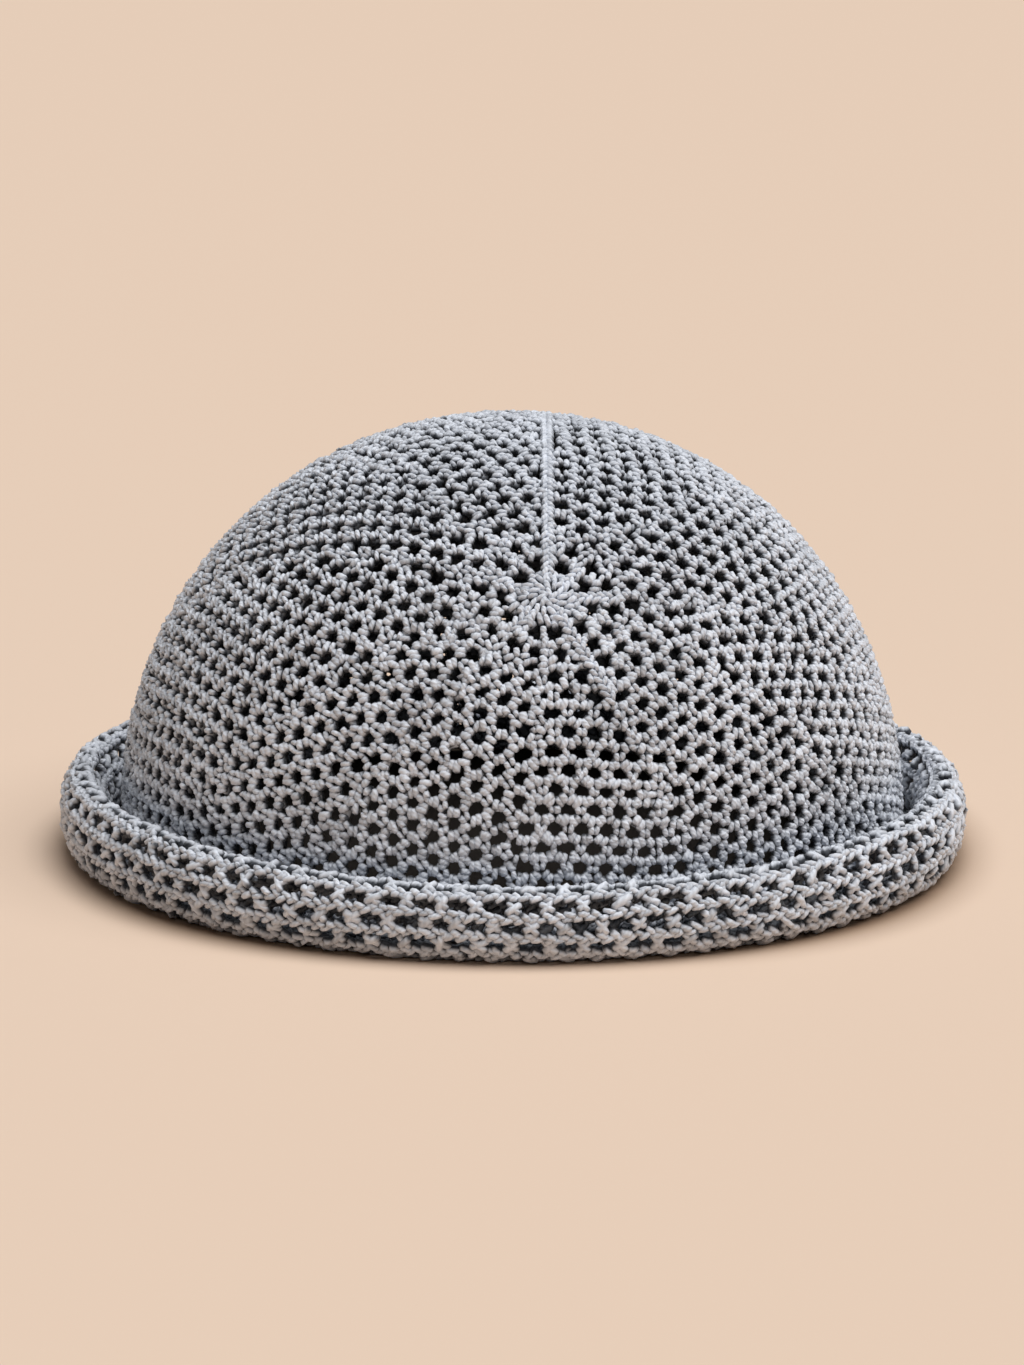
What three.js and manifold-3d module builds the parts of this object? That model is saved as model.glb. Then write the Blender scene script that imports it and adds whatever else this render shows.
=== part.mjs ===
// Rolled-brim crochet hat: an openwork crown and a brim turned up and rolled, in millimetres, +Z up.
// The hat stands on z = 0 with its open side down, the crown's axis is Z and the front is -Y.
import * as THREE from 'three';
import * as BufferGeometryUtils from 'three/addons/utils/BufferGeometryUtils.js';
import Module from 'manifold-3d';

const wasm = await Module();
wasm.setup();

// Crown: a dome a little fuller than an ellipsoid on a short upright foot, for a head of 57 cm
const crownRadius = 93;
const crownSpring = 7.2;
const crownRise = 96;
const crownFullness = 2.07;
const crownFoot = 6;
const wall = 2.5;
const clearance = 0.3;

// Brim: the cloth turns out along the floor, up, over and down again inside the roll
const rollCentre = 101.8;
const rollHalfWidth = 5.75;
const rollHeight = 17.1;
const footBend = 3.75;
const rollEnd = 205;

// The roll stands taller at the two sides, and the brim is longest from front right to back left
const sideRise = 0.2;
const ovalAmount = 0.014;
const ovalAngle = -45;

// Start ring of the crochet: it lies in front of the top of the crown
const startTilt = 45.2;
const startTurn = 6.7;
const startRadius = 6.2;
const startPinhole = 0.9;
const startProud = 0.9;
const startShoulder = 4.65;
const seatLength = 15;

// Raised line of joins, straight back from the start ring over the top and down the back
const seamOffset = 8.1;
const seamStart = 4.96;
const seamFoot = 21;
const seamWidth = 3.2;
const seamHeight = 1.2;
const seamChamfer = 0.4;

// Coarse net: each gap is as open as the round of small meshes that it stands for
const gapPitch = 15.5;
const gapWidth = 10;
const gapHeight = 8.4;
const gapShoulder = 0.27;
const gapFromSeam = 1;
const gapsPerSector = 6;
const mostGapsInRound = 24;
const lowestGap = 16;
const brimGaps = 24;
const brimGapWidth = 12;
const brimGapHeight = 5;

const crownSteps = 32;
const archSteps = 8;
const brimSteps = 40;
const bendSteps = 2;
const rollSteps = 10;
const startSides = 20;
const seamSteps = 26;
const weldDistance = 1e-3;
const smallTurn = 0.01;

const radians = THREE.MathUtils.degToRad;

function makeMaterial(color, roughness) {
  return new THREE.MeshStandardMaterial({ color, roughness, metalness: 0 });
}

// Turns a closed profile of [radius, height] points round Z
function turnProfile(points, steps) {
  const profile = points.map(([radius, height]) => new THREE.Vector2(radius, height));
  const geometry = new THREE.LatheGeometry(profile, steps);
  geometry.rotateX(Math.PI / 2);
  return geometry;
}

function toSolid(geometry) {
  const bare = geometry.clone();
  bare.deleteAttribute('normal');
  bare.deleteAttribute('uv');
  const merged = BufferGeometryUtils.mergeVertices(bare, weldDistance);
  const mesh = new wasm.Mesh({
    numProp: 3,
    vertProperties: new Float32Array(merged.attributes.position.array),
    triVerts: new Uint32Array(merged.index.array),
  });
  mesh.merge();
  return new wasm.Manifold(mesh);
}

function toGeometry(solid) {
  const mesh = solid.getMesh();
  const geometry = new THREE.BufferGeometry();
  geometry.setAttribute('position', new THREE.BufferAttribute(mesh.vertProperties, 3));
  geometry.setIndex(new THREE.BufferAttribute(mesh.triVerts, 1));
  geometry.computeVertexNormals();
  return geometry;
}

// A point on the crown's outer skin, set back by depth: angle is measured up from the widest level
function domePoint(angle, depth) {
  const power = 2 / crownFullness;
  const radius = (crownRadius - depth) * Math.cos(angle) ** power;
  const height = crownSpring + (crownRise - depth) * Math.sin(angle) ** power;
  return [radius, height];
}

// Where a ray from the dome's centre meets the crown's outer skin
function skinPoint(direction) {
  const flat = Math.hypot(direction.x, direction.y) / crownRadius;
  const rise = Math.max(direction.z, 0) / crownRise;
  const reach = (flat ** crownFullness + rise ** crownFullness) ** (-1 / crownFullness);
  return direction.clone().multiplyScalar(reach).add(new THREE.Vector3(0, 0, crownSpring));
}

function skinNormal(point) {
  const flat = Math.hypot(point.x, point.y);
  const rise = Math.max(point.z - crownSpring, 0) / crownRise;
  const lean = (flat / crownRadius) ** (crownFullness - 1) / crownRadius;
  return new THREE.Vector3(
    lean * point.x / flat,
    lean * point.y / flat,
    rise ** (crownFullness - 1) / crownRise,
  ).normalize();
}

// Frame of the crochet: its own pole goes through the start ring, and turn 0 runs over the top
const startAzimuth = radians(-90 + startTurn);
const startPole = new THREE.Vector3(
  Math.cos(startAzimuth) * Math.sin(radians(startTilt)),
  Math.sin(startAzimuth) * Math.sin(radians(startTilt)),
  Math.cos(radians(startTilt)),
);
const up = new THREE.Vector3(0, 0, 1);
const overTop = up.clone().addScaledVector(startPole, -up.dot(startPole)).normalize();
const sideways = new THREE.Vector3().crossVectors(startPole, overTop);

const startSeat = skinPoint(startPole);
const startNormal = skinNormal(startSeat);

function roundDirection(away, turn) {
  return startPole.clone().multiplyScalar(Math.cos(away))
    .addScaledVector(overTop, Math.sin(away) * Math.cos(turn))
    .addScaledVector(sideways, Math.sin(away) * Math.sin(turn));
}

// A six-sided prism through the cloth at a point, its width along the round
function gapTool(point, normal, along, width, height, reach) {
  const outline = new THREE.Shape();
  const corners = [
    [0.5, 0],
    [gapShoulder, 0.5],
    [-gapShoulder, 0.5],
    [-0.5, 0],
    [-gapShoulder, -0.5],
    [gapShoulder, -0.5],
  ];
  outline.setFromPoints(corners.map(([u, v]) => new THREE.Vector2(u * width, v * height)));
  const tool = new THREE.ExtrudeGeometry(outline, { depth: 2 * reach, bevelEnabled: false });
  tool.translate(0, 0, -reach);
  const side = along.clone().addScaledVector(normal, -along.dot(normal)).normalize();
  const across = new THREE.Vector3().crossVectors(normal, side);
  const place = new THREE.Matrix4().makeBasis(side, across, normal);
  place.setPosition(point);
  tool.applyMatrix4(place);
  return toSolid(tool);
}

// Gaps of the crown, round after round from the start ring, clear of the seam
function crownGapTools() {
  const tools = [];
  const rounds = Math.floor(180 / gapPitch);
  for (let round = 1; round <= rounds; round += 1) {
    const away = radians(gapPitch * round);
    const count = Math.min(gapsPerSector * round, mostGapsInRound);
    const firstTurn = round % 2 === 1 ? 0.5 : 1;
    for (let place = 0; place < count; place += 1) {
      const turn = 2 * Math.PI * (place + firstTurn) / count;
      const direction = roundDirection(away, turn);
      const point = skinPoint(direction);
      const nearSeam = Math.abs(point.x - seamOffset) < (gapWidth + seamWidth) / 2 + gapFromSeam;
      const underSeam = nearSeam && point.y > startSeat.y;
      if (direction.z > 0 && point.z >= lowestGap && !underSeam) {
        const along = roundDirection(away, turn + smallTurn).sub(direction);
        tools.push(gapTool(point, skinNormal(point), along, gapWidth, gapHeight, 2 * wall));
      }
    }
  }
  return tools;
}

function makeCrown() {
  const outer = [];
  const inner = [];
  for (let step = archSteps; step >= 0; step -= 1) {
    const angle = Math.PI / 2 * step / archSteps;
    outer.push(domePoint(angle, 0));
    inner.unshift(domePoint(angle, wall));
  }
  outer[0][0] = 0;
  inner[inner.length - 1][0] = 0;
  const foot = [[crownRadius, crownFoot], [crownRadius - wall, crownFoot]];
  const profile = [...outer, ...foot, ...inner].reverse();
  let solid = toSolid(turnProfile(profile, crownSteps));
  const seat = new THREE.CylinderGeometry(
    startRadius + clearance,
    startRadius + clearance,
    seatLength,
    startSides,
  );
  seat.rotateX(Math.PI / 2);
  placeOnCrown(seat);
  solid = solid.subtract(toSolid(seat));
  for (const tool of crownGapTools()) {
    solid = solid.subtract(tool);
  }
  return toGeometry(solid);
}

// Puts a geometry whose axis is Z on the crown at the start ring
function placeOnCrown(geometry) {
  const side = new THREE.Vector3().crossVectors(up, startNormal).normalize();
  const across = new THREE.Vector3().crossVectors(startNormal, side);
  const place = new THREE.Matrix4().makeBasis(side, across, startNormal);
  place.setPosition(startSeat);
  geometry.applyMatrix4(place);
}

function makeStartRing() {
  const profile = [
    [startPinhole, -wall],
    [startRadius, -wall],
    [startRadius, 0],
    [startShoulder, startProud],
    [2 * startPinhole, startProud],
    [startPinhole, 0],
    [startPinhole, -wall],
  ];
  const geometry = turnProfile(profile, startSides);
  placeOnCrown(geometry);
  return toGeometry(toSolid(geometry));
}

// Height of the crown's outer skin over a point of the plan
function skinHeight(x, y) {
  const flat = Math.hypot(x, y) / crownRadius;
  return crownSpring + crownRise * (1 - flat ** crownFullness) ** (1 / crownFullness);
}

// Follows the crown in an upright plane, from the start ring over the top to near the brim
function makeSeamRidge() {
  const first = Math.asin((startSeat.y + seamStart) / crownRadius);
  const foot = (seamFoot - crownSpring) / crownRise;
  const backReach = crownRadius * (1 - foot ** crownFullness) ** (1 / crownFullness);
  const last = Math.asin(backReach / crownRadius);
  const low = [];
  const high = [];
  for (let step = 0; step <= seamSteps; step += 1) {
    const y = crownRadius * Math.sin(THREE.MathUtils.lerp(first, last, step / seamSteps));
    const point = new THREE.Vector3(seamOffset, y, skinHeight(seamOffset, y));
    const normal = skinNormal(point);
    const lift = (distance) => new THREE.Vector2(
      point.y + normal.y * distance,
      point.z + normal.z * distance,
    );
    low.push(lift(clearance + seamChamfer));
    high.unshift(lift(clearance + seamHeight - seamChamfer));
  }
  const outline = new THREE.Shape();
  outline.setFromPoints([...low, ...high]);
  const geometry = new THREE.ExtrudeGeometry(outline, {
    depth: seamWidth - 2 * seamChamfer,
    bevelSize: seamChamfer,
    bevelThickness: seamChamfer,
    bevelSegments: 1,
  });
  geometry.translate(0, 0, seamChamfer - seamWidth / 2);
  const place = new THREE.Matrix4().makeBasis(
    new THREE.Vector3(0, 1, 0),
    new THREE.Vector3(0, 0, 1),
    new THREE.Vector3(1, 0, 0),
  );
  place.setPosition(seamOffset, 0, 0);
  geometry.applyMatrix4(place);
  return toGeometry(toSolid(geometry));
}

// Moves a point of the round brim to its place: none at the crown, all of the change at the roll
function bendBrimPoint(point) {
  const radius = Math.hypot(point.x, point.y);
  const azimuth = Math.atan2(point.y, point.x);
  const share = THREE.MathUtils.smoothstep(radius, crownRadius, rollCentre);
  const stretch = 1 + share * ovalAmount * Math.cos(2 * (azimuth - radians(ovalAngle)));
  const rise = 1 + share * sideRise * Math.cos(azimuth) ** 2;
  return new THREE.Vector3(point.x * stretch, point.y * stretch, point.z * rise);
}

function bendBrim(geometry) {
  const position = geometry.attributes.position;
  const point = new THREE.Vector3();
  for (let index = 0; index < position.count; index += 1) {
    point.fromBufferAttribute(position, index);
    const moved = bendBrimPoint(point);
    position.setXYZ(index, moved.x, moved.y, moved.z);
  }
}

// Half of the wall to either side of the brim's middle line, which runs from the crown into the roll
function brimProfile() {
  const half = wall / 2;
  const middle = crownRadius - half;
  const footCentre = [middle + footBend, half + footBend];
  const near = [[middle - half, crownFoot - clearance], [middle - half, footCentre[1]]];
  const far = [[middle + half, crownFoot - clearance], [middle + half, footCentre[1]]];
  for (let step = 1; step <= bendSteps; step += 1) {
    const angle = radians(180 + 90 * step / bendSteps);
    for (const [side, offset] of [[near, half], [far, -half]]) {
      const reach = footBend + offset;
      side.push([footCentre[0] + reach * Math.cos(angle), footCentre[1] + reach * Math.sin(angle)]);
    }
  }
  const rollMiddle = rollHeight / 2;
  for (let step = 0; step <= rollSteps; step += 1) {
    const angle = radians(THREE.MathUtils.lerp(-90, rollEnd, step / rollSteps));
    const cos = Math.cos(angle);
    const sin = Math.sin(angle);
    near.push([rollCentre + rollHalfWidth * cos, rollMiddle + rollMiddle * sin]);
    far.push([
      rollCentre + (rollHalfWidth - wall) * cos,
      rollMiddle + (rollMiddle - wall) * sin,
    ]);
  }
  return [...near, ...far.reverse(), near[0]];
}

function makeBrim() {
  const geometry = turnProfile(brimProfile(), brimSteps);
  bendBrim(geometry);
  let solid = toSolid(geometry);
  for (let place = 0; place < brimGaps; place += 1) {
    const azimuth = 2 * Math.PI * (place + 0.5) / brimGaps;
    const outward = new THREE.Vector3(Math.cos(azimuth), Math.sin(azimuth), 0);
    const along = new THREE.Vector3(-outward.y, outward.x, 0);
    const side = outward.clone().multiplyScalar(rollCentre + rollHalfWidth);
    side.z = rollHeight / 2;
    const point = bendBrimPoint(side);
    solid = solid.subtract(gapTool(point, outward, along, brimGapWidth, brimGapHeight, 2 * wall));
  }
  return toGeometry(solid);
}

const crochetBlue = 0x9ea6b1;
const crochetShade = 0x8b94a1;

const group = new THREE.Group();

function addPiece(name, geometry, color) {
  const mesh = new THREE.Mesh(geometry, makeMaterial(color, 0.85));
  mesh.name = name;
  group.add(mesh);
}

addPiece('crown', makeCrown(), crochetBlue);
addPiece('start_ring', makeStartRing(), crochetShade);
addPiece('seam_ridge', makeSeamRidge(), crochetShade);
addPiece('brim', makeBrim(), crochetBlue);

export default group;
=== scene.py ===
import math

import bmesh
import bpy
import numpy as np
from mathutils import Matrix, Vector, kdtree


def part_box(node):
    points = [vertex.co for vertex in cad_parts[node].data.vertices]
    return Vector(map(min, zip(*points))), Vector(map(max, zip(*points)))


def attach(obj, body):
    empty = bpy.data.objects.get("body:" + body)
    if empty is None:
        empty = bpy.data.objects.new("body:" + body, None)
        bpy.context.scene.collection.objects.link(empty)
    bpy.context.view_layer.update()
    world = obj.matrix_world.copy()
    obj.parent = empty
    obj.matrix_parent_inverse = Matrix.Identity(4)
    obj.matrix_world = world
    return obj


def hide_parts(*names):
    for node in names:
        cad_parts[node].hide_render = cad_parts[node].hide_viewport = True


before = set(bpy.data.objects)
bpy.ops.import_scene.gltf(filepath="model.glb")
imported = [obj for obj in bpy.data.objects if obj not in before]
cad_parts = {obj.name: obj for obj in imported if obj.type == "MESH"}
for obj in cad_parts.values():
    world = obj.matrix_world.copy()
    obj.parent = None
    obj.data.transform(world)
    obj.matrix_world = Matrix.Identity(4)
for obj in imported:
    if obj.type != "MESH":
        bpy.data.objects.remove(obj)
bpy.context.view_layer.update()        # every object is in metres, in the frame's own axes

dice = np.random.default_rng(27)
toMetres = 0.001         # the crochet is worked out in millimetres and turned into metres last
straightUp = np.array([0.0, 0.0, 1.0])

# One smooth round cotton cord makes the whole hat. Between its crossings it shows as short lumps.
cord = {
    "fabricDepth": 2.5,      # front to back through one layer of crochet
    "dive": 0.35,            # how far a lump's ends go down under the next ones
    "turnShake": 10.0,       # this and the tilt in degrees
    "tiltShake": 12.0,
    "sizeShake": 0.1,
    "placeShake": 0.08,
    "heightShake": 0.12,
    "neatShake": 0.7,        # the start, its rays and the seam vary only this much of that
    "lumpSides": 6,
    "lumpRings": 4,
    "blunt": 1.24,           # swells a lump near its ends, 1 is a plain ellipsoid
    "topSwell": 1.1,         # makes up for the flat between the two highest edges
}


def unit(vectors):
    return vectors / np.linalg.norm(vectors, axis=-1, keepdims=True)


def dots(left, right):
    return (left * right).sum(axis=-1, keepdims=True)


def smoothStep(value, low, high):
    share = np.clip((value - low) / (high - low), 0.0, 1.0)
    return share * share * (3.0 - 2.0 * share)


# One lump of cord along X, two units long, as corners and triangles.
def makeLump():
    lump = bmesh.new()
    sides = cord["lumpSides"]
    bmesh.ops.create_uvsphere(lump, u_segments=sides, v_segments=cord["lumpRings"], radius=1.0)
    bmesh.ops.rotate(lump, verts=lump.verts, matrix=Matrix.Rotation(math.pi / sides, 3, "Z"))
    nearEnds = [vert for vert in lump.verts if 0.1 < abs(vert.co.z) < 0.9]     # neither middle nor tips
    bmesh.ops.scale(lump, verts=nearEnds, vec=(cord["blunt"], cord["blunt"], 1.0))
    bmesh.ops.scale(lump, verts=lump.verts, vec=(cord["topSwell"], 1.0, 1.0))
    bmesh.ops.rotate(lump, verts=lump.verts, matrix=Matrix.Rotation(math.pi / 2, 3, "Y"))
    bmesh.ops.triangulate(lump, faces=lump.faces)
    lump.verts.index_update()
    corners = np.array([vert.co[:] for vert in lump.verts])
    # triangulate gives them in another order each time, so they are sorted
    triangles = np.array(sorted([vert.index for vert in face.verts] for face in lump.faces))
    lump.free()
    return corners, triangles


lumpCorners, lumpTriangles = makeLump()


# Lumps just under a skin. Each is a centre, three half axes and the way its ends bend.
def layLumps(skin, normals, tangents, length, width, proud=0.0, depth=cord["fabricDepth"], shake=1.0):
    count = len(skin)
    turn = np.radians(dice.normal(0.0, shake * cord["turnShake"], count))[:, None]
    tilt = np.radians(dice.normal(0.0, shake * cord["tiltShake"], count))[:, None]
    size = 1.0 + dice.normal(0.0, shake * cord["sizeShake"], (3, count, 1))
    along = unit(tangents - normals * dots(tangents, normals))
    across = np.cross(normals, along)
    along = along * np.cos(turn) + across * np.sin(turn)
    along = along * np.cos(tilt) + normals * np.sin(tilt)
    across = unit(np.cross(normals, along))
    outward = np.cross(along, across)
    sink = depth / 2 - proud + dice.normal(0.0, shake * cord["heightShake"], (count, 1))
    centres = skin - normals * sink + dice.normal(0.0, shake * cord["placeShake"], (count, 3))
    return np.stack([
        centres,
        along * length / 2 * size[0],
        across * width / 2 * size[1],
        outward * depth / 2 * size[2],
        normals * -cord["dive"],
    ], axis=1)


# Many lumps as one mesh from arrays.
def joinLumps(name, lumps, finish, node):
    corners = lumps[:, None, 0] + np.einsum("vk,nkc->nvc", lumpCorners, lumps[:, 1:4])
    corners += lumpCorners[:, :1] ** 2 * lumps[:, None, 4]
    perLump = len(lumpCorners)
    triangles = lumpTriangles[None] + perLump * np.arange(len(lumps))[:, None, None]
    mesh = bpy.data.meshes.new(name)
    mesh.vertices.add(corners.size // 3)
    mesh.vertices.foreach_set("co", (corners * toMetres).ravel())
    mesh.loops.add(triangles.size)
    mesh.loops.foreach_set("vertex_index", triangles.ravel())
    mesh.polygons.add(triangles.size // 3)
    mesh.polygons.foreach_set("loop_start", np.arange(0, triangles.size, 3))
    mesh.update(calc_edges=True)
    mesh.shade_smooth()
    # each corner's place in its lump, which the yarn's material uses for its plies and its painted shade
    place = mesh.attributes.new("cordPlace", "FLOAT_VECTOR", "POINT")
    place.data.foreach_set("vector", np.tile(lumpCorners, (len(lumps), 1)).ravel())
    tone = mesh.attributes.new("cordTone", "FLOAT", "POINT")
    tone.data.foreach_set("value", np.repeat(dice.random(len(lumps)), perLump))
    piece = bpy.data.objects.new(name, mesh)
    bpy.context.scene.collection.objects.link(piece)
    piece.data.materials.append(finish)
    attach(piece, "root")
    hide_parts(node)
    print(name, len(lumps), "lumps", triangles.size // 3, "triangles")


# The crown: a bowl full of small round meshes in rows, with one stitch in each post between two meshes.
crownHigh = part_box("crown")[1]
crown = {
    "radius": crownHigh[0] / toMetres,
    "spring": 7.2,            # height of the bowl's widest round
    "top": crownHigh[2] / toMetres,
    "fullness": 2.07,         # 2 is an ellipse, more is squarer
    "foot": 4.2,              # where the brim's rounds take over
    "lowestMesh": 7.3,
    "meshPitch": 5.85,        # along a row
    "rowPitch": 4.3,
    "gridStart": 16.5,        # the sectors begin this far from the start
    "gridReach": 75,          # steps of a sector's grid each way
    "gridEnd": 2.7,           # radians round the bowl along the sector, and to each side of it
    "gridSide": 0.8,
    "aheadStep": 0.1,         # a point this far on shows the way of its row
    "sectorSlack": 30.0,      # degrees below a sector's start that still count as before it
    "wellSpread": 4.3,        # two meshes at a join of sectors are at least this far apart at first
    "leastGap": 5.15,         # and this far once they have settled
    "settleSteps": 24,
    "settlePush": 0.22,       # share of a missing gap that one step makes up
    "settleNear": 9,          # meshes that push each one, looked up again after so many steps
    "settleRenew": 8,
    "wander": 0.7,            # rows sway this much, over waves of about forty millimetres
    "wanderReach": 6.4,
    "meshShake": 0.2,
    "holeClear": 1.95,        # no lump's middle lies this near to the middle of a mesh
    "postNear": 8,            # meshes among which the next one of a row is looked for
    "postReach": 1.4,         # it lies within so many pitches
    "postStraight": 0.82,     # and this nearly straight ahead, where 1 is dead ahead
    "postClear": 2.1,
    "wallNear": 7,
    "wallReach": 7.4,         # meshes up to this far apart have a wall between them
    "wallFree": 0.47,         # if no third mesh lies nearer to its middle than this share of their gap
    "wallStep": 0.85,         # each wall has three spots, this far apart
    "wallGap": 1.15,          # and a spot with no lump this near gets one
    "bareFrom": 2.15,         # a spot this far from every mesh
    "bareGap": 1.3,           # and this far from every lump gets a lump of its own
    "bareSpread": 1.15,       # if no other such spot lies within this many of those gaps
    "bareRings": (2.3, 2.9, 3.5, 4.2),     # such spots are looked for on rings round each mesh
    "bareTurns": 14,
    "footRings": (0.3, 1.6),  # and on two rounds this far above the foot
    "footStep": 1.2,
    "fillLength": 2.5,
    "fillWidth": 1.7,
    "tightStart": 10.0,       # between these places behind the middle the lumps grow and close the crochet
    "tightEnd": 60.0,
    "tightness": 0.65,
    "slimness": 0.2,          # high up beside the start the posts are slimmer and the meshes wider
    "slimLow": 25.0,          # heights between which this comes on
    "slimHigh": 50.0,
    "slimFrom": 0.2,          # turned away from the front: 0 faces it, 1 faces up or aside
    "slimFull": 0.5,
    "slimUntil": 0.9,
    "slimGone": 1.1,
    "deepLumps": 2,           # the last lumps of a stitch lie behind the others and stay as wide
}
crown["rise"] = crown["top"] - crown["spring"]
bowlCentre = np.array([0.0, 0.0, crown["spring"]])
bowlSize = 94.0               # the bowl as a ball, for laying out distances
farOff = 1000.0               # stands for a ray that isn't there

# Rounds run out from the start in straight sectors. Each row gives where the sector starts and the direction
# of its rows, both in degrees anticlockwise from the right.
sectors = [
    (-165.0, 50.0), (-140.0, 27.0), (-100.0, 0.0), (-62.0, 38.0), (-22.0, 17.0),
    (2.0, 48.0), (42.0, 26.0), (83.0, 55.0), (122.0, 29.0), (155.0, 9.0),
]

# The lumps of one stitch, from the middle of its post: across along the row, up towards the start. The last
# two lie deep behind the others.
# across, up, heading, length, width, proud, depth
crownStitch = np.array([
    (-0.92, 1.85, 62.0, 3.0, 1.76, 0.1, 1.7),
    (0.92, 1.85, 118.0, 3.0, 1.76, 0.1, 1.7),
    (-0.68, 0.0, 98.0, 2.6, 1.5, 0.05, 2.4),
    (0.68, 0.0, 82.0, 2.6, 1.5, 0.05, 2.4),
    (-1.0, -1.8, -54.0, 2.9, 1.76, 0.0, 1.7),
    (1.0, -1.8, 54.0, 2.9, 1.76, 0.0, 1.7),
    (-1.46, 2.0, -34.0, 3.5, 1.9, -0.7, 3.0),
    (1.46, 2.0, 34.0, 3.5, 1.9, -0.7, 3.0),
])

startRing = {
    "tilt": 45.2,             # degrees from straight up
    "turn": -83.3,            # degrees round the hat, -90 is the front
    "radius": 5.7,
    "proud": 0.5,
    "rounds": [(1.4, 7), (3.4, 13), (5.3, 20)],     # radius and strands of each round
    "roundTurn": 50.0,        # degrees that a round is turned for each millimetre of its radius
    "strandLay": 64.0,
    "strandLength": 3.3,
    "strandWidth": 1.4,
    "firstMeshes": [(9.0, 10), (13.6, 15)],         # radius and meshes of the first two open rounds
    "firstTurn": 96.0,
    "meshSlack": 0.3,         # no mesh settles nearer than the first open round less this
    "rays": [                 # heading in degrees, length and how proud it stands
        (-140.0, 12.0, 0.1), (-62.0, 28.0, 0.6), (2.0, 15.0, 0.1), (42.0, 11.0, 0.1), (155.0, 13.0, 0.1),
    ],
    "rayHalfWidth": 1.3,
    "rayOffset": 3.3,         # meshes keep this far from a ray
    "rayRoom": 1.0,           # and a ray counts as this much longer than it is
    "raySteps": 60,
    "seamTuck": 0.4,          # seam, lumps and rays begin this much inside the edge of the rounds
    "lumpTuck": 0.5,
    "rayTuck": 0.6,
}

seam = {
    "plane": 8.1,             # the seam lies in this upright plane, to the right of the middle
    "halfWidth": 0.95,
    "meshOffset": 2.9,
    "footHeight": 21.0,
    "footRoom": 8.0,          # meshes keep off it to this far below its foot
    "lineSteps": 1200,
    "lineFrom": 30.0,         # degrees over the top, from the front
    "lineTo": 179.0,
    "firstStitch": 0.2,
    "stitchStep": 1.85,       # of the two columns of stitches that make the seam and each ray
    "stagger": 0.25,          # the columns are shifted this share of a step, one each way
    "slopeReach": 0.3,        # the line's direction is taken over this much each way
    "stitchLength": 3.1,
    "stitchWidth": 1.4,
    "columnGap": 1.3,
    "lay": 32.0,
    "proud": 0.15,
}

# The way from the middle of the bowl to the start, and the skin's up and right there.
startTilt = math.radians(startRing["tilt"])
startTurn = math.radians(startRing["turn"])
startWay = np.array([
    math.sin(startTilt) * math.cos(startTurn),
    math.sin(startTilt) * math.sin(startTurn),
    math.cos(startTilt),
])
startUp = unit(straightUp - startWay * startWay[2])
startSide = np.cross(startUp, startWay)


# Where the ray from the middle of the bowl through each place meets the crown's skin.
def crownPoint(places):
    ways = places - bowlCentre
    flat = np.hypot(ways[..., 0], ways[..., 1]) / crown["radius"]
    rise = np.maximum(ways[..., 2], 0.0) / crown["rise"]
    reach = (flat ** crown["fullness"] + rise ** crown["fullness"]) ** (-1.0 / crown["fullness"])
    return bowlCentre + ways * reach[..., None]


def crownNormal(points):
    flat = np.maximum(np.hypot(points[..., 0], points[..., 1]), 1e-6)     # never nought at the very top
    lean = (flat / crown["radius"]) ** (crown["fullness"] - 1) / crown["radius"]
    rise = np.maximum(points[..., 2] - crown["spring"], 0.0) / crown["rise"]
    lift = rise ** (crown["fullness"] - 1) / crown["rise"]
    return unit(np.stack([points[..., 0] / flat * lean, points[..., 1] / flat * lean, lift], axis=-1))


# Distance of each point from the start and its turn round it, in degrees anticlockwise from the right.
def awayFromStart(points):
    ways = unit(points - bowlCentre)
    away = np.arccos(np.clip(ways @ startWay, -1.0, 1.0)) * bowlSize
    turn = np.degrees(np.arctan2(ways @ startUp, ways @ startSide))
    return away, turn


def pointFromStart(away, turn):
    angle = np.asarray(away) / bowlSize
    turn = np.radians(turn)
    side = np.cos(turn)[..., None] * startSide + np.sin(turn)[..., None] * startUp
    way = np.cos(angle)[..., None] * startWay + np.sin(angle)[..., None] * side
    return crownPoint(bowlCentre + way * bowlSize)


startMiddle = crownPoint(bowlCentre + startWay * bowlSize)


# The seam's middle line from the start over the top to its foot, with the distance along it.
def seamLine():
    steps = seam["lineSteps"]
    angles = np.radians(np.linspace(seam["lineFrom"], seam["lineTo"], steps))
    ways = np.stack([np.full(steps, seam["plane"] / bowlSize), -np.cos(angles), np.sin(angles)], axis=1)
    line = crownPoint(bowlCentre + ways * bowlSize)
    line[:, 0] = seam["plane"]
    away, turn = awayFromStart(line)
    past = (turn > 0.0) & (turn < 180.0) & (away > startRing["radius"] - startRing["seamTuck"])
    line = line[past & ((line[:, 1] < 0.0) | (line[:, 2] > seam["footHeight"]))]
    lengths = np.concatenate([[0.0], np.cumsum(np.linalg.norm(np.diff(line, axis=0), axis=1))])
    return line, lengths


def alongLine(line, lengths, at):
    return np.stack([np.interp(at, lengths, line[:, axis]) for axis in range(3)], axis=1)


# Which points have the seam beside them, on either side of it.
def besideSeam(points):
    turn = awayFromStart(points)[1]
    return (turn > 0.0) & (turn < 180.0) & (points[:, 2] > seam["footHeight"] - seam["footRoom"])


# From each point to the nearest spot of each ray that runs out from the start.
def waysToRays(points):
    away, turn = awayFromStart(points)
    ways = []
    for heading, length in [ray[:2] for ray in startRing["rays"]]:
        reach = away * np.cos(np.radians(turn - heading))
        spot = pointFromStart(np.clip(reach, 0.0, length), np.full(len(points), heading))
        passes = (reach > 0.0) & (reach < length + startRing["rayRoom"])
        ways.append(np.where(passes[:, None], spot - points, farOff))
    return np.stack(ways, axis=1)


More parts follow.
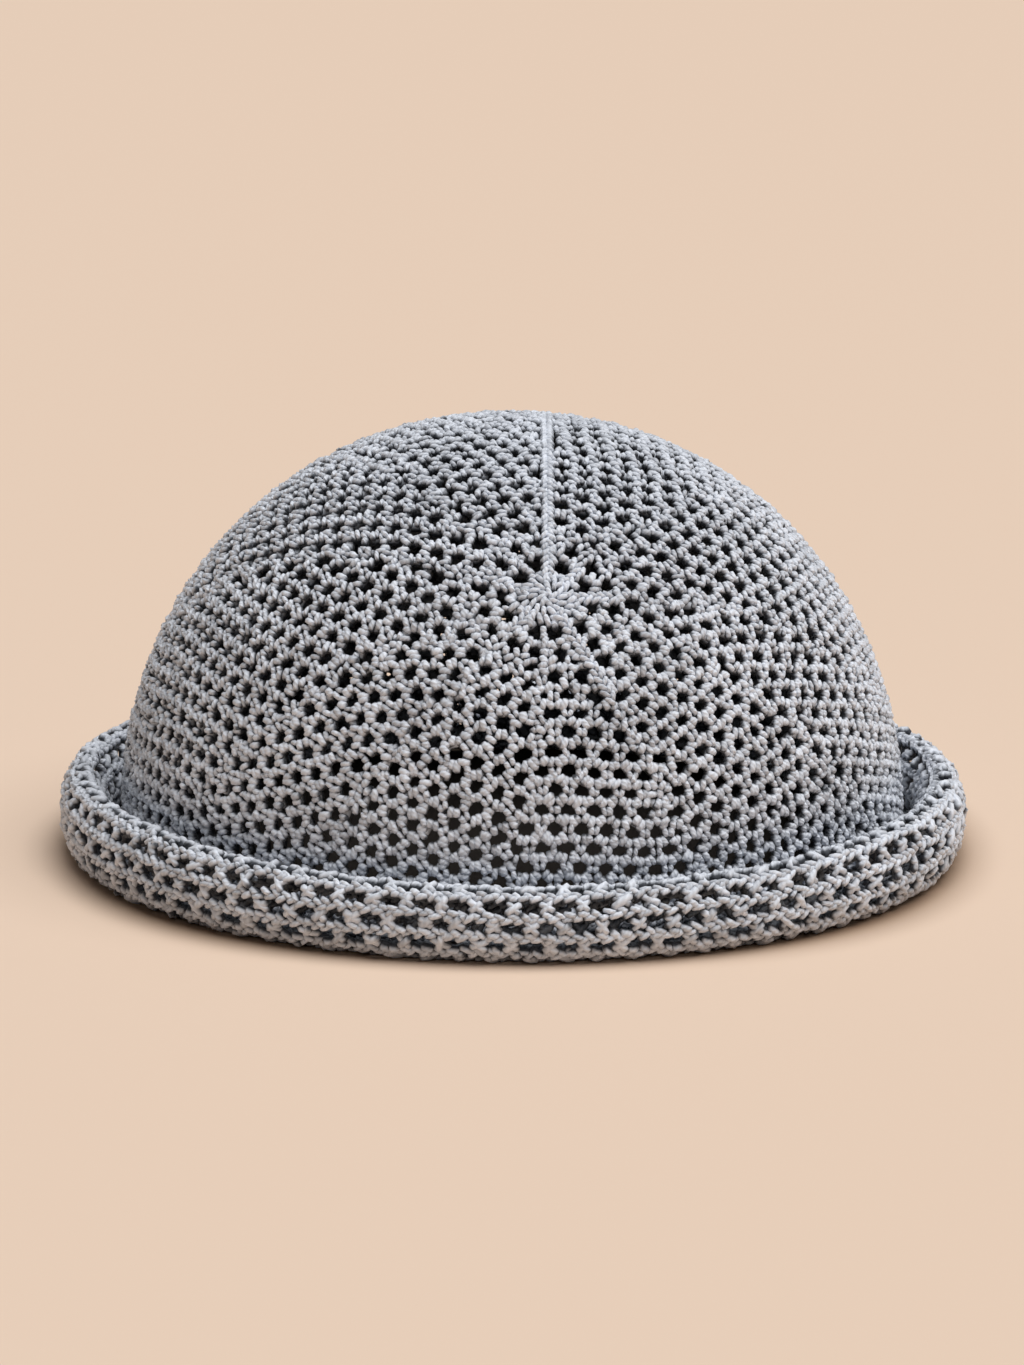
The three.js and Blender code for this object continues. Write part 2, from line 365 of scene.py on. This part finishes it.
# One sector's meshes and the way of their row: an even grid, wrapped over the bowl.
def layGrid(start, end, rows):
    middle = math.radians((start + end) / 2)
    outAlong = math.cos(middle) * startSide + math.sin(middle) * startUp
    outAcross = -math.sin(middle) * startSide + math.cos(middle) * startUp
    lean = math.radians(rows) - middle
    steps = np.arange(-crown["gridReach"], crown["gridReach"] + 1)
    one, two = [grid.ravel() + dice.random() for grid in np.meshgrid(steps, steps)]
    ends = []
    for ahead in (0.0, crown["aheadStep"]):
        onward = crown["meshPitch"] * (one + two / 2) + ahead
        upward = crown["rowPitch"] * two
        along = ((onward * math.cos(lean) - upward * math.sin(lean)) / bowlSize)[:, None]
        across = ((onward * math.sin(lean) + upward * math.cos(lean)) / bowlSize)[:, None]
        inPlane = np.cos(along) * startWay + np.sin(along) * outAlong
        ways = np.cos(across) * inPlane + np.sin(across) * outAcross
        ends.append(crownPoint(bowlCentre + ways * bowlSize))
    near = (along[:, 0] > 0.0) & (along[:, 0] < crown["gridEnd"])
    near &= (np.abs(across[:, 0]) < crown["gridSide"]) & (ways[:, 2] > 0.0)
    points = ends[0]
    away, turn = awayFromStart(points)
    turn = np.where(turn < start - crown["sectorSlack"], turn + 360.0, turn)
    near &= (turn >= start) & (turn < end) & (away > crown["gridStart"])
    near &= points[:, 2] > crown["lowestMesh"]
    near &= ~(besideSeam(points) & (np.abs(points[:, 0] - seam["plane"]) < seam["meshOffset"]))
    return points[near], unit(ends[1] - points)[near]


# Middles of the crown's meshes and the way of each one's row, before they settle.
def layMeshes():
    found = []
    ways = []
    for away, count in startRing["firstMeshes"]:
        turns = (np.arange(count) + 0.5 * (count % 2)) * 360.0 / count + startRing["firstTurn"]
        points = pointFromStart(np.full(count, away), turns)
        found.extend(points)
        ways.extend(unit(np.cross(crownNormal(points), points - startMiddle)))
    starts = [sector[0] for sector in sectors]
    ends = starts[1:] + [starts[0] + 360.0]
    for (start, rows), end in zip(sectors, ends):
        points, ahead = layGrid(start, end, rows)
        apart = gapTo(points, np.array(found)) > crown["wellSpread"]
        found.extend(points[apart])
        ways.extend(ahead[apart])
    return np.array(found), np.array(ways)


def treeOf(points):
    tree = kdtree.KDTree(len(points))
    for index, point in enumerate(points):
        tree.insert(point, index)
    tree.balance()
    return tree


# For each point, which others are nearest.
def nearest(points, count):
    tree = treeOf(points)
    return np.array([[found[1] for found in tree.find_n(point, count + 1)][1:] for point in points])


# How far each spot lies from the nearest of some points.
def gapTo(spots, points):
    tree = treeOf(points)
    return np.array([tree.find(spot)[2] for spot in spots])


# Which spots to keep so that none lies too near to an earlier one.
def thinned(spots, least):
    tree = treeOf(spots)
    kept = np.ones(len(spots), bool)
    for index, spot in enumerate(spots):
        earlier = [found[1] for found in tree.find_range(spot, least) if found[1] < index]
        kept[index] = not kept[earlier].any()
    return kept


# Meshes push each other apart until they lie evenly, and keep off the seam, the rays and the start.
def settleMeshes(points):
    points = points + crown["wander"] * np.sin(points[:, [1, 2, 0]] / crown["wanderReach"])
    for step in range(crown["settleSteps"]):
        if step % crown["settleRenew"] == 0:
            near = nearest(points, crown["settleNear"])
        apart = points[:, None] - points[near]
        gap = np.linalg.norm(apart, axis=2)
        push = np.maximum(crown["leastGap"] - gap, 0.0)
        points = points + crown["settlePush"] * (apart / gap[..., None] * push[..., None]).sum(axis=1)
        offset = points[:, 0] - seam["plane"]
        tooNear = besideSeam(points) & (np.abs(offset) < seam["meshOffset"])
        side = np.where(offset < 0.0, -1.0, 1.0)
        points[:, 0] = np.where(tooNear, seam["plane"] + side * seam["meshOffset"], points[:, 0])
        ways = waysToRays(points)
        gap = np.linalg.norm(ways, axis=2)[..., None]
        points = points - (ways / gap * np.maximum(startRing["rayOffset"] - gap, 0.0)).sum(axis=1)
        points[:, 2] = np.maximum(points[:, 2], crown["lowestMesh"])
        points = crownPoint(points)
        away, turn = awayFromStart(points)
        least = startRing["firstMeshes"][0][0] - startRing["meshSlack"]
        points = np.where((away < least)[:, None], pointFromStart(np.maximum(away, least), turn), points)
    kept = thinned(points, crown["wellSpread"])
    shake = dice.normal(0.0, crown["meshShake"], points.shape)
    return crownPoint(points + shake)[kept], kept


# Posts stand half way between a mesh and the next one of its row: their middles and the way across each.
def layPosts(points, ways):
    normals = crownNormal(points)
    ways = unit(ways - normals * dots(ways, normals))
    leftHand = dots(np.cross(normals, ways), startMiddle - points) < 0.0
    ways = np.where(leftHand, -ways, ways)
    near = nearest(points, crown["postNear"])
    apart = points[near] - points[:, None]
    gap = np.linalg.norm(apart, axis=2)
    straight = (apart * ways[:, None]).sum(axis=2) / gap
    straight = np.where(gap < crown["postReach"] * crown["meshPitch"], straight, -1.0)
    best = straight.argmax(axis=1)
    index = np.arange(len(points))
    found = straight[index, best] > crown["postStraight"]
    onward = np.where(found[:, None], apart[index, best], ways * crown["meshPitch"])
    headed = np.isin(index, near[index, best][found])
    backward = ways[~headed] * crown["meshPitch"]
    middles = crownPoint(np.concatenate([points + onward / 2, points[~headed] - backward / 2]))
    spans = np.concatenate([onward, backward])
    free = gapTo(middles, points) > crown["postClear"]
    middles = middles[free]
    spans = spans[free]
    kept = thinned(middles, crown["postClear"])
    return middles[kept], spans[kept]


# Leaves out lumps that would fill a mesh or lie in the seam, a ray, the start or the brim.
def clearLumps(lumps, points):
    places = crownPoint(lumps[:, 0])
    away = awayFromStart(places)[0]
    clear = gapTo(places, points) > crown["holeClear"]
    clear &= away > startRing["radius"] - startRing["lumpTuck"]
    clear &= ~(besideSeam(places) & (np.abs(places[:, 0] - seam["plane"]) < seam["halfWidth"]))
    clear &= (np.linalg.norm(waysToRays(places), axis=2) > startRing["rayHalfWidth"]).all(axis=1)
    clear &= lumps[:, 0, 2] > crown["foot"]
    return lumps[clear]


# Lumps along the walls between meshes where no stitch has put one.
def layWalls(points, lumps):
    near = nearest(points, crown["wallNear"])
    one = np.repeat(np.arange(len(points)), near.shape[1])
    two = near.ravel()
    once = one < two
    ways = points[two[once]] - points[one[once]]
    middles = crownPoint((points[two[once]] + points[one[once]]) / 2)
    gaps = np.linalg.norm(ways, axis=1)
    walls = gaps < crown["wallReach"]
    walls &= gapTo(middles, points) > gaps * crown["wallFree"]
    middles = middles[walls]
    ways = unit(ways[walls])
    normals = crownNormal(middles)
    along = np.cross(normals, ways)
    spots = []
    for step in (-1.0, 0.0, 1.0):
        spots.append(crownPoint(middles + along * step * crown["wallStep"]))
    spots = np.concatenate(spots)
    along = np.tile(along, (3, 1))
    bare = gapTo(spots, crownPoint(lumps[:, 0])) > crown["wallGap"]
    spots = spots[bare]
    along = along[bare]
    kept = thinned(spots, crown["wallGap"])
    spots = spots[kept]
    return layLumps(spots, crownNormal(spots), along[kept], crown["fillLength"], crown["fillWidth"])


# Spots of the crown that no mesh and no lump reaches, well apart from each other.
def bareSpots(points, lumps):
    normals = crownNormal(points)
    right = unit(np.cross(straightUp + 0.001, normals))     # a little off, so that the top has a right too
    ahead = np.cross(normals, right)
    spots = []
    for reach in crown["bareRings"]:
        for angle in np.arange(crown["bareTurns"]) * 2 * math.pi / crown["bareTurns"]:
            spots.append(points + reach * (math.cos(angle) * right + math.sin(angle) * ahead))
    turns = np.arange(0.0, 2 * math.pi, crown["footStep"] / crown["radius"])
    onRound = [crown["radius"] * np.cos(turns), crown["radius"] * np.sin(turns)]
    for above in crown["footRings"]:
        spots.append(np.stack([*onRound, np.full(len(turns), crown["foot"] + above)], axis=1))
    spots = crownPoint(np.concatenate(spots))
    spots = spots[spots[:, 2] > crown["foot"]]
    spots = spots[gapTo(spots, points) > crown["bareFrom"]]
    spots = spots[gapTo(spots, crownPoint(lumps[:, 0])) > crown["bareGap"]]
    return spots[thinned(spots, crown["bareGap"] * crown["bareSpread"])]


# The lumps of every stitch, set by its table in the frame of its post.
def layStitches(table, frameAt):
    lumps = []
    for across, up, heading, length, width, proud, depth in table:
        skin, normals, onward, upward = frameAt(across, up)
        tangents = onward * math.cos(math.radians(heading)) + upward * math.sin(math.radians(heading))
        lumps.append(layLumps(skin, normals, tangents, length, width, proud, depth))
    return np.concatenate(lumps)


# Two columns of stitches along a line on the crown, leaning to each other as a row of chevrons.
def pairedStitches(line, lengths, first, last, proud):
    lumps = []
    lay = math.radians(seam["lay"])
    for side in (-1.0, 1.0):
        at = np.arange(first, last, seam["stitchStep"]) + seam["stagger"] * seam["stitchStep"] * side
        here = alongLine(line, lengths, at)
        after = alongLine(line, lengths, at + seam["slopeReach"])
        before = alongLine(line, lengths, at - seam["slopeReach"])
        tangents = unit(after - before)
        aside = unit(np.cross(tangents, crownNormal(here)))
        skin = crownPoint(here + side * seam["columnGap"] / 2 * aside)
        tangents = tangents * math.cos(lay) - side * aside * math.sin(lay)
        size = (seam["stitchLength"], seam["stitchWidth"])
        lumps.append(layLumps(skin, crownNormal(skin), tangents, *size, proud, shake=cord["neatShake"]))
    return np.concatenate(lumps)


# Dense rounds of the start, drawn up round a pinhole, and the rays of paired stitches that leave it.
def layStart():
    lumps = []
    lay = math.radians(startRing["strandLay"])
    for radius, count in startRing["rounds"]:
        turns = np.arange(count) * 360.0 / count + radius * startRing["roundTurn"]
        skin = pointFromStart(np.full(count, radius), turns)
        normals = crownNormal(skin)
        outward = unit(skin - startMiddle)
        tangents = np.cross(normals, outward) * math.cos(lay) + outward * math.sin(lay)
        proud = startRing["proud"] * (1.0 - (radius / startRing["radius"]) ** 2)
        size = (startRing["strandLength"], startRing["strandWidth"])
        lumps.append(layLumps(skin, normals, tangents, *size, proud, shake=cord["neatShake"]))
    for heading, length, proud in startRing["rays"]:
        away = np.linspace(0.0, length, startRing["raySteps"])
        line = pointFromStart(away, np.full(len(away), heading))
        lumps.append(pairedStitches(line, away, startRing["radius"] - startRing["rayTuck"], length, proud))
    return np.concatenate(lumps)


def laySeam():
    line, lengths = seamLine()
    return pairedStitches(line, lengths, seam["firstStitch"], lengths[-1], seam["proud"])


def layCrown(others):
    points, ways = layMeshes()
    points, kept = settleMeshes(points)
    print(len(points), "meshes in the crown")
    middles, spans = layPosts(points, ways[kept])
    normals = crownNormal(middles)
    onward = unit(spans - normals * dots(spans, normals))
    upward = np.cross(normals, onward)

    turned = 1.0 + normals[:, 1]      # 0 where the crown faces the front
    slimmer = smoothStep(middles[:, 2], crown["slimLow"], crown["slimHigh"])
    slimmer *= smoothStep(turned, crown["slimFrom"], crown["slimFull"])
    slimmer *= 1.0 - smoothStep(turned, crown["slimUntil"], crown["slimGone"])
    slim = 1.0 - crown["slimness"] * slimmer

    def frameAt(across, up):
        skin = crownPoint(middles + onward * across * slim[:, None] + upward * up)
        return skin, crownNormal(skin), onward, upward

    lumps = layStitches(crownStitch, frameAt)
    topLumps = (len(crownStitch) - crown["deepLumps"]) * len(slim)
    lumps[:topLumps, 2] *= np.resize(slim, topLumps)[:, None]
    lumps = clearLumps(lumps, points)
    lumps = np.concatenate([lumps, clearLumps(layWalls(points, np.concatenate([lumps, others])), points)])
    bare = bareSpots(points, np.concatenate([lumps, others]))
    anyWay = dice.normal(size=(len(bare), 3))
    fill = layLumps(bare, crownNormal(bare), anyWay, crown["fillLength"], crown["fillWidth"])
    print(len(middles), "stitches and", len(fill), "lumps between them")
    lumps = np.concatenate([lumps, fill])
    closer = 1.0 + crown["tightness"] * smoothStep(lumps[:, 0, 1], crown["tightStart"], crown["tightEnd"])
    lumps[:, 1:3] *= closer[:, None, None]
    return lumps


# The brim: the same crochet turned out along the floor and rolled up, with longer meshes in even rows.
brim = {
    "footRadius": 90.5,       # the face that ends up outside starts as the crown's inner one
    "bend": 5.0,              # radius of the bend from the crown's wall to the floor
    "rollCentre": 101.8,
    "rollHalfWidth": 5.75,
    "rollHeight": 17.1,
    "wall": 2.5,
    "rollEnd": 205.0,         # degrees round the roll, from its outermost line
    "bendPoints": 40,
    "rollPoints": 200,
    "ovalStart": 93.0,        # outside this radius the brim is a little oval
    "ovalAmount": 0.014,
    "ovalTurn": -45.0,        # degrees round the hat, where it is widest
    "sideRise": 0.2,          # the roll stands taller at the sides
    "meshesRound": 84,
    "rowPitch": 4.2,
    "firstRow": 1.1,
    "turnShake": 0.05,        # of a mesh's width
    "rowShake": 0.15,
    "rowSway": 0.25,
    "swaysRound": 9,
    "endRoom": 0.3,           # stitches keep this far from both ends of the section
    "nudge": 0.05,            # directions on the skin are taken over this much each way
}

# The lumps of one stitch of the brim: a cross in the post, and under it a plait that runs on below the mesh.
# across, up, heading, length, width, proud, depth
brimStitch = np.array([
    (0.0, 0.1, 41.0, 5.2, 1.85, 0.1, 2.2),
    (0.0, 0.1, 139.0, 5.2, 1.85, 0.0, 2.2),
    (-2.7, -1.72, -22.0, 3.5, 1.55, 0.0, 2.2),
    (0.0, -1.72, -22.0, 3.5, 1.55, 0.05, 2.2),
    (2.7, -1.72, -22.0, 3.5, 1.55, 0.0, 2.2),
    (-1.35, -2.5, 22.0, 3.5, 1.55, 0.05, 2.2),
    (1.35, -2.5, 22.0, 3.5, 1.55, 0.05, 2.2),
    (4.05, -2.5, 22.0, 3.5, 1.55, 0.0, 2.2),
])


# The shown face of the brim's section, with distances along the middle of its wall.
def brimSection():
    bend = np.radians(np.linspace(180.0, 270.0, brim["bendPoints"]))
    roll = np.radians(np.linspace(-90.0, brim["rollEnd"], brim["rollPoints"]))
    half = brim["wall"] / 2
    bendCentre = brim["footRadius"] + brim["bend"]
    halfHeight = brim["rollHeight"] / 2
    lines = []
    for inset in (0.0, half):
        bendX = bendCentre + (brim["bend"] - inset) * np.cos(bend)
        bendZ = brim["bend"] + (brim["bend"] - inset) * np.sin(bend)
        rollX = brim["rollCentre"] + (brim["rollHalfWidth"] - inset) * np.cos(roll)
        rollZ = halfHeight + (halfHeight - inset) * np.sin(roll)
        lines.append(np.stack([np.concatenate([bendX, rollX]), np.concatenate([bendZ, rollZ])], axis=1))
    face, middle = lines
    lengths = np.concatenate([[0.0], np.cumsum(np.linalg.norm(np.diff(middle, axis=0), axis=1))])
    return face, lengths


brimFace, brimLengths = brimSection()


# A point of the brim's shown face: turn in radians round the hat, along in millimetres out from the crown.
def brimPoint(turn, along):
    radius = np.interp(along, brimLengths, brimFace[:, 0])
    height = np.interp(along, brimLengths, brimFace[:, 1])
    share = smoothStep(radius, brim["ovalStart"], brim["rollCentre"])
    oval = 1.0 + share * brim["ovalAmount"] * np.cos(2 * (turn - math.radians(brim["ovalTurn"])))
    taller = 1.0 + share * brim["sideRise"] * np.cos(turn) ** 2
    return np.stack([radius * oval * np.cos(turn), radius * oval * np.sin(turn), height * taller], axis=-1)


def layBrim():
    total = brimLengths[-1]
    rows = int((total - brim["firstRow"]) // brim["rowPitch"]) + 1
    meshTurn = 2 * math.pi / brim["meshesRound"]
    row, index = [grid.ravel() for grid in np.meshgrid(np.arange(rows), np.arange(brim["meshesRound"]))]
    turns = (index + 0.5 * (row % 2) + dice.normal(0.0, brim["turnShake"], len(row))) * meshTurn
    sway = brim["rowSway"] * np.sin(turns * brim["swaysRound"] + row)
    alongs = brim["firstRow"] + row * brim["rowPitch"] + sway + dice.normal(0.0, brim["rowShake"], len(row))

    def frameAt(across, up):
        nudge = brim["nudge"]
        nudgeTurn = nudge / 100      # radians, about as far
        turn = turns + across / brim["rollCentre"]
        along = np.clip(alongs + up, brim["endRoom"], total - brim["endRoom"])
        onward = brimPoint(turn + nudgeTurn, along) - brimPoint(turn - nudgeTurn, along)
        upward = brimPoint(turn, along + nudge) - brimPoint(turn, along - nudge)
        return brimPoint(turn, along), unit(np.cross(onward, upward)), unit(onward), unit(upward)

    lumps = layStitches(brimStitch, frameAt)
    lowest = lumps[:, 0, 2] - np.linalg.norm(lumps[:, 1:4, 2], axis=1)
    lumps[:, 0, 2] -= np.minimum(lowest, 0.0)      # none goes into the floor
    return lumps


yarnLook = {
    # pale is the yarn's colour and deep the colour of its painted shade
    "pale": (0.827, 0.869, 0.953),
    "deep": (0.07, 0.077, 0.093),
    "denseShade": 1.03,       # the close stitches are this much paler
    "roughness": 0.62,
    "specular": 0.5,
    "sheen": 0.18,
    "sheenRoughness": 0.45,
    "plies": 3.0,
    "plyTurns": 1.3,
    "fibreScale": 2600.0,
    "fibreDetail": 2.0,
    "fibreShare": 0.6,        # of the fibres in the bump, beside 1 for the plies
    "bumpStrength": 0.6,
    "bumpHeight": 0.00018,
    "patchScale": 45.0,
    "patchDetail": 3.0,
    "paleFrom": -0.3,         # painted shade through a lump, where -1 is its inner side and 1 its outer one
    "paleTo": 0.88,
    "innerFrom": -0.95,       # from paleFrom to here the painted shade lifts, up to this share of the pale
    "innerPale": 0.45,
    "endsFrom": 0.6,          # painted shade where lumps meet: along a lump, 1 is its tip, which keeps this share of the pale
    "endsPale": 0.1,
    "patchMiddle": 0.62,      # patches, the lump's own tone and the grooves each shift the blend, the grooves as painted shade between plies
    "patchShare": 0.5,
    "toneMiddle": 0.6,
    "toneShare": 0.35,
    "grooveMiddle": 1.0,
    "grooveShare": 0.1,
}


def mathNode(tree, operation, first, second=None, third=None):
    node = tree.nodes.new("ShaderNodeMath")
    node.operation = operation
    for socket, value in zip(node.inputs, (first, second, third)):
        if value is None:
            continue
        if isinstance(value, (int, float)):
            socket.default_value = value
        else:
            tree.links.new(value, socket)
    return node.outputs[0]


def mapNode(tree, value, low, high, lowTo, highTo):
    node = tree.nodes.new("ShaderNodeMapRange")
    node.interpolation_type = "SMOOTHSTEP"
    tree.links.new(value, node.inputs["Value"])
    for name, number in (("From Min", low), ("From Max", high), ("To Min", lowTo), ("To Max", highTo)):
        node.inputs[name].default_value = number
    return node.outputs["Result"]


def noiseNode(tree, coords, scale, detail):
    node = tree.nodes.new("ShaderNodeTexNoise")
    node.inputs["Scale"].default_value = scale
    node.inputs["Detail"].default_value = detail
    tree.links.new(coords, node.inputs["Vector"])
    return node.outputs["Fac"]


# Cotton cord: twisted plies and fine fibres in the bump. Its colour has painted shade: darkest half way
# through the fabric, darker on its inner side than its outer one, darker at each lump's tips where lumps
# meet and a little darker in the ply grooves.
def makeYarn(name, shade):
    material = bpy.data.materials.new(name)
    material.use_nodes = True
    tree = material.node_tree
    shader = tree.nodes["Principled BSDF"]
    shader.inputs["Roughness"].default_value = yarnLook["roughness"]
    shader.inputs["Specular IOR Level"].default_value = yarnLook["specular"]
    shader.inputs["Sheen Weight"].default_value = yarnLook["sheen"]
    shader.inputs["Sheen Roughness"].default_value = yarnLook["sheenRoughness"]
    place = tree.nodes.new("ShaderNodeAttribute")
    place.attribute_name = "cordPlace"
    tone = tree.nodes.new("ShaderNodeAttribute")
    tone.attribute_name = "cordTone"
    split = tree.nodes.new("ShaderNodeSeparateXYZ")
    tree.links.new(place.outputs["Vector"], split.inputs[0])
    coords = tree.nodes.new("ShaderNodeTexCoord").outputs["Object"]

    around = mathNode(tree, "ARCTAN2", split.outputs["Z"], split.outputs["Y"])
    twist = mathNode(tree, "MULTIPLY", split.outputs["X"], 2 * math.pi * yarnLook["plyTurns"])
    groove = mathNode(tree, "SINE", mathNode(tree, "MULTIPLY_ADD", around, yarnLook["plies"], twist))
    groove = mathNode(tree, "MULTIPLY_ADD", groove, 0.5, 0.5)
    fibres = noiseNode(tree, coords, yarnLook["fibreScale"], yarnLook["fibreDetail"])
    bump = tree.nodes.new("ShaderNodeBump")
    bump.inputs["Strength"].default_value = yarnLook["bumpStrength"]
    bump.inputs["Distance"].default_value = yarnLook["bumpHeight"]
    relief = mathNode(tree, "MULTIPLY_ADD", fibres, yarnLook["fibreShare"], groove)
    tree.links.new(relief, bump.inputs["Height"])
    tree.links.new(bump.outputs[0], shader.inputs["Normal"])

    patches = noiseNode(tree, coords, yarnLook["patchScale"], yarnLook["patchDetail"])
    # painted shade: darkest half way through each lump, darker on its inner side and at its tips
    depth = mapNode(tree, split.outputs["Z"], yarnLook["paleFrom"], yarnLook["paleTo"], 0.0, 1.0)
    inner = (yarnLook["innerFrom"], yarnLook["paleFrom"], yarnLook["innerPale"], 0.0)
    depth = mathNode(tree, "ADD", depth, mapNode(tree, split.outputs["Z"], *inner))
    ends = mathNode(tree, "ABSOLUTE", split.outputs["X"])
    ends = mapNode(tree, ends, yarnLook["endsFrom"], 1.0, 1.0, yarnLook["endsPale"])
    shadeAndTone = mathNode(tree, "MULTIPLY", depth, ends)
    # random patches and the lump's own tone shift the blend, and the ply grooves add a little painted shade
    shifts = (("patch", patches), ("tone", tone.outputs["Fac"]), ("groove", groove))
    for part, value in shifts:
        offset = mathNode(tree, "SUBTRACT", value, yarnLook[part + "Middle"])
        shadeAndTone = mathNode(tree, "MULTIPLY_ADD", offset, yarnLook[part + "Share"], shadeAndTone)
    blend = tree.nodes.new("ShaderNodeMix")
    blend.data_type = "RGBA"
    blend.inputs["A"].default_value = (*[value * shade for value in yarnLook["deep"]], 1.0)
    blend.inputs["B"].default_value = (*[value * shade for value in yarnLook["pale"]], 1.0)
    tree.links.new(shadeAndTone, blend.inputs["Factor"])
    tree.links.new(blend.outputs["Result"], shader.inputs["Base Color"])
    return material


crochetCotton = makeYarn("crochetCotton", 1.0)
denseCotton = makeYarn("denseCotton", yarnLook["denseShade"])
print("materials made")

startLumps = layStart()
seamLumps = laySeam()
crownLumps = layCrown(np.concatenate([startLumps, seamLumps]))
headings = np.degrees(np.arctan2(crownLumps[:, 0, 1], crownLumps[:, 0, 0]))
quarter = np.floor((headings + 45.0) / 90.0) % 4     # 0 is the right one, then anticlockwise
for side, name in enumerate(("crown_right", "crown_back", "crown_left", "crown_front")):
    joinLumps(name, crownLumps[quarter == side], crochetCotton, "crown")
joinLumps("start_rounds", startLumps, denseCotton, "start_ring")
joinLumps("seam_stitches", seamLumps, denseCotton, "seam_ridge")
brimLumps = layBrim()
behind = brimLumps[:, 0, 1] > 0.0
joinLumps("brim_back", brimLumps[behind], crochetCotton, "brim")
joinLumps("brim_front", brimLumps[~behind], crochetCotton, "brim")

# Warm paper and one soft light. The paper's shade under the hat and close round it is painted on, in metres.
stage = {
    "floorSize": 30.0,
    "floorColour": (0.81, 0.628, 0.493),
    "floorRoughness": 0.95,
    "floorSpecular": 0.1,
    "underHat": (0.055, 0.047, 0.042),
    "besideHat": (0.32, 0.215, 0.145),
    "besideAt": 0.5,          # this colour's share of the way from the shade's inner to its outer edge
    "shadeMiddle": (0.0025, 0.0022, 0.0),
    "shadeInner": 0.09,
    "shadeOuter": 0.1185,
    "shadeWave": 0.022,       # the shade reaches further by this share at the four diagonals
    "shadeWaves": 4.0,
    "skyColour": (1.0, 0.985, 0.97),
    "skyStrength": 0.14,
    "sunFrom": (0.33, -0.12, 1.0),
    "sunStrength": 2.83,
    "sunSpread": 62.0,
}


def makeFloor():
    grid = bmesh.new()
    bmesh.ops.create_grid(grid, x_segments=2, y_segments=2, size=stage["floorSize"] / 2)
    mesh = bpy.data.meshes.new("paper_floor")
    grid.to_mesh(mesh)
    grid.free()
    floor = bpy.data.objects.new("paper_floor", mesh)
    bpy.context.scene.collection.objects.link(floor)
    paper = bpy.data.materials.new("warmPaper")
    paper.use_nodes = True
    tree = paper.node_tree
    shader = tree.nodes["Principled BSDF"]
    coords = tree.nodes.new("ShaderNodeTexCoord").outputs["Object"]
    away = tree.nodes.new("ShaderNodeVectorMath")
    away.operation = "DISTANCE"
    away.inputs[1].default_value = stage["shadeMiddle"]
    tree.links.new(coords, away.inputs[0])
    shade = tree.nodes.new("ShaderNodeValToRGB")
    shade.color_ramp.elements.new(stage["besideAt"])
    for stop, name in zip(shade.color_ramp.elements, ("underHat", "besideHat", "floorColour")):
        stop.color = (*stage[name], 1.0)
    split = tree.nodes.new("ShaderNodeSeparateXYZ")
    tree.links.new(coords, split.inputs[0])
    around = mathNode(tree, "ARCTAN2", split.outputs["Y"], split.outputs["X"])
    wave = mathNode(tree, "COSINE", mathNode(tree, "MULTIPLY", around, stage["shadeWaves"]))
    wave = mathNode(tree, "MULTIPLY_ADD", wave, stage["shadeWave"], 1.0)
    reach = mathNode(tree, "MULTIPLY", away.outputs["Value"], wave)
    edge = mapNode(tree, reach, stage["shadeInner"], stage["shadeOuter"], 0.0, 1.0)
    tree.links.new(edge, shade.inputs["Fac"])
    tree.links.new(shade.outputs["Color"], shader.inputs["Base Color"])
    shader.inputs["Roughness"].default_value = stage["floorRoughness"]
    shader.inputs["Specular IOR Level"].default_value = stage["floorSpecular"]
    mesh.materials.append(paper)


def makeSun():
    lamp = bpy.data.lights.new("softbox", "SUN")
    lamp.energy = stage["sunStrength"]
    lamp.angle = math.radians(stage["sunSpread"])
    light = bpy.data.objects.new("softbox", lamp)
    light.rotation_euler = Vector(stage["sunFrom"]).to_track_quat("Z", "Y").to_euler()
    bpy.context.scene.collection.objects.link(light)


def makeSky():
    world = bpy.data.worlds.new("studio")
    world.use_nodes = True
    back = world.node_tree.nodes["Background"]
    back.inputs["Color"].default_value = (*stage["skyColour"], 1.0)
    back.inputs["Strength"].default_value = stage["skyStrength"]
    bpy.context.scene.world = world


view = {
    "elevation": 12.5,
    "distance": 1.2,          # from a point over the middle of the floor, this high up
    "pivotHeight": 0.05,
    "aimHeight": 0.0394,
    "focalPixels": 5066.0,    # the lens, in pixels of a frame that is framePixels high
    "framePixels": 1365.0,
    "film": 36.0,
}


def makeCamera():
    lens = bpy.data.cameras.new("camera")
    lens.sensor_fit = "VERTICAL"
    lens.sensor_height = view["film"]
    lens.sensor_width = view["film"]
    lens.lens = view["focalPixels"] * view["film"] / view["framePixels"]
    lens.clip_end = 100.0
    camera = bpy.data.objects.new("camera", lens)
    lift = math.radians(view["elevation"])
    camera.location = (
        0.0,
        -view["distance"] * math.cos(lift),
        view["pivotHeight"] + view["distance"] * math.sin(lift),
    )
    aim = Vector((0.0, 0.0, view["aimHeight"])) - camera.location
    camera.rotation_euler = aim.to_track_quat("-Z", "Y").to_euler()
    bpy.context.scene.collection.objects.link(camera)
    bpy.context.scene.camera = camera


makeFloor()
makeSky()
makeSun()
makeCamera()
bpy.context.scene.view_settings.view_transform = "Standard"
print("stage and camera made")
